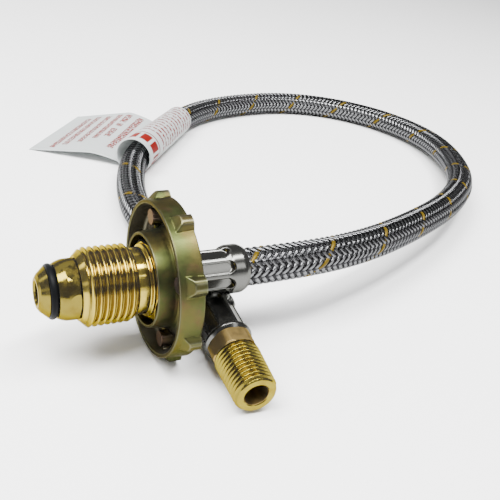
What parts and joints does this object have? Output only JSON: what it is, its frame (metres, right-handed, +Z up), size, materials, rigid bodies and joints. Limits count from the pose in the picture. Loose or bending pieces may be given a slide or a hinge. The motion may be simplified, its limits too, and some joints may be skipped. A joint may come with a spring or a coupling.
{
  "type": "gas cylinder hose",
  "caption": "Braided gas hose with a bullnose cylinder connector, its spinning left-hand nut and lugged handwheel, crimped ferrules, a taper-threaded outlet and a paper flag label.",
  "frame": {"origin": "on the cylinder connector's axis, at the nut's first full thread", "axes": "+X along the connector's axis from its nose to the hose, +Z up, the table 24 mm below the origin"},
  "size_m": [0.2516, 0.2415, 0.048],
  "materials": {
    "brass": "machined, bright",
    "nut_brass": "machined, slightly dull",
    "seal_rubber": "satin black",
    "passivated_zinc": "yellow passivated zinc casting with an iridescent tint",
    "ferrule_steel": "bright stainless steel",
    "liner_rubber": "black rubber",
    "braid_steel": "braided bright stainless wire with one yellow tracer",
    "label_paper": "white coated paper with plain red rules"
  },
  "bodies": {
    "hose_set": {"bullnose_spigot": "brass", "nose_o_ring": "seal_rubber", "inlet_ferrule": "ferrule_steel", "hose_liner": "liner_rubber", "hose_braid": "braid_steel", "wrap_label": "label_paper", "outlet_ferrule": "ferrule_steel", "outlet_nipple": "brass"},
    "coupling": {"coupling_nut": "nut_brass", "handwheel": "passivated_zinc"}
  },
  "joints": [
    {"name": "coupling_spin", "type": "hinge", "parent": "hose_set", "child": "coupling", "pos_m": [0, 0, 0], "axis": [1, 0, 0], "continuous": true}
  ]
}
